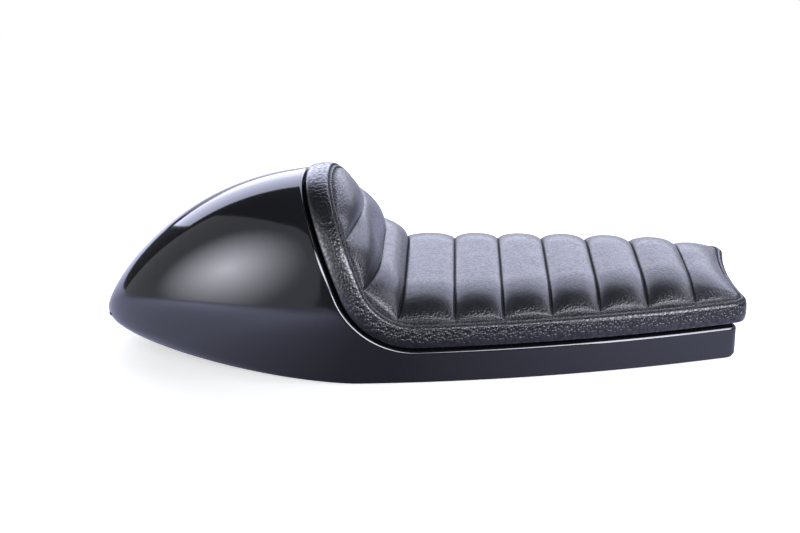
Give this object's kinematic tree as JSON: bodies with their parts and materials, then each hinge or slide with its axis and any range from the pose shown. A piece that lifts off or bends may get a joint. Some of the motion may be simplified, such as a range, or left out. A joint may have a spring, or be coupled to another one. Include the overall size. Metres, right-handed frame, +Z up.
{
  "type": "motorcycle seat cowl with pad",
  "caption": "Bullet-tailed moulded seat cowl with long side skirts, carrying a stitched, rolled leather pad that turns up into a low back rest; bolts to a motorcycle's rear frame.",
  "frame": {"origin": "on the ground plane, below the middle of the whole unit, where the skirts' lower edges stand", "axes": "+X to the nose of the seat, +Y to the rider's left, +Z up; the unit is symmetric about Y = 0"},
  "size_m": [0.68, 0.236, 0.1903],
  "materials": {
    "gloss_shell": "polished gloss black, lacquered",
    "cover_leather": "black pebble-grain leather with a soft sheen",
    "pan_plastic": "matt black moulding",
    "foam": "open-cell foam",
    "zinc_steel": "zinc plated"
  },
  "bodies": {
    "root": {"cowl_shell": "gloss_shell", "cover_top_panel": "cover_leather", "cover_side_band": "cover_leather", "pad_base_pan": "pan_plastic", "pad_foam": "foam", "pad_studs": "zinc_steel", "stud_washers": "zinc_steel", "stud_nuts": "zinc_steel"}
  },
  "joints": []
}
